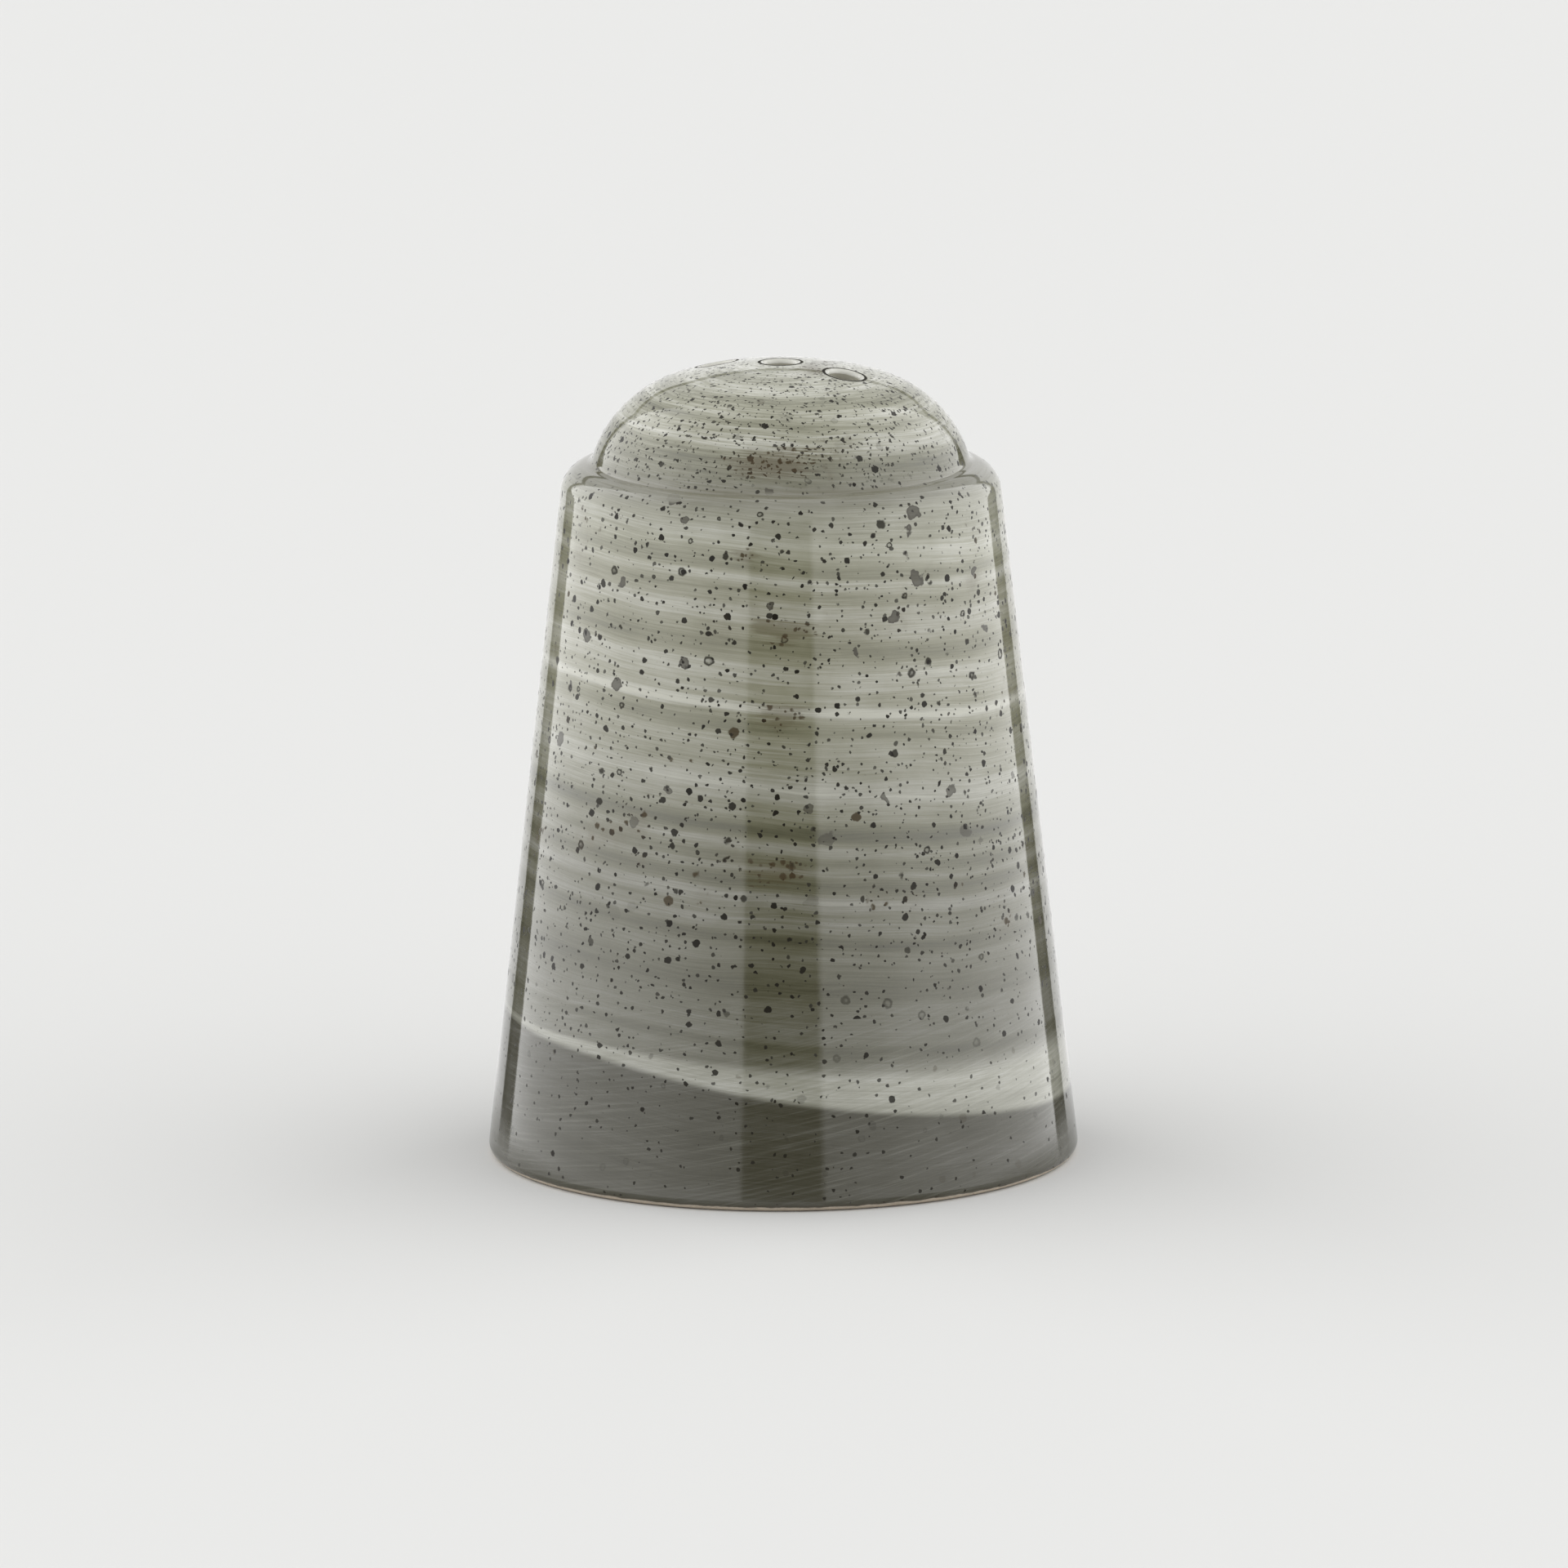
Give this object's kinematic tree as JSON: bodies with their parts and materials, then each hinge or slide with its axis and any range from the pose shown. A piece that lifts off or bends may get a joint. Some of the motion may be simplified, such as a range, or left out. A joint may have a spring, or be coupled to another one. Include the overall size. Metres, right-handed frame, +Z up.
{
  "type": "salt shaker",
  "caption": "Tapered glazed ceramic salt shaker with a low dome pierced by a row of pouring holes, filled through a soft stopper in its base.",
  "frame": {"origin": "centre of the foot ring on the table", "axes": "+Z up along the shaker's axis, +X along the row of pouring holes"},
  "size_m": [0.059, 0.059, 0.0799],
  "materials": {
    "speckled_glaze": "glossy grey-olive glaze with fine brushed bands and dark specks",
    "soft_stopper": "satin moulded silicone"
  },
  "bodies": {
    "body": {"shaker_body": "speckled_glaze"},
    "stopper": {"base_stopper": "soft_stopper"}
  },
  "joints": [
    {"name": "stopper_pull", "type": "slide", "parent": "body", "child": "stopper", "axis": [0, 0, -1], "range_m": [0, 0.03]}
  ]
}
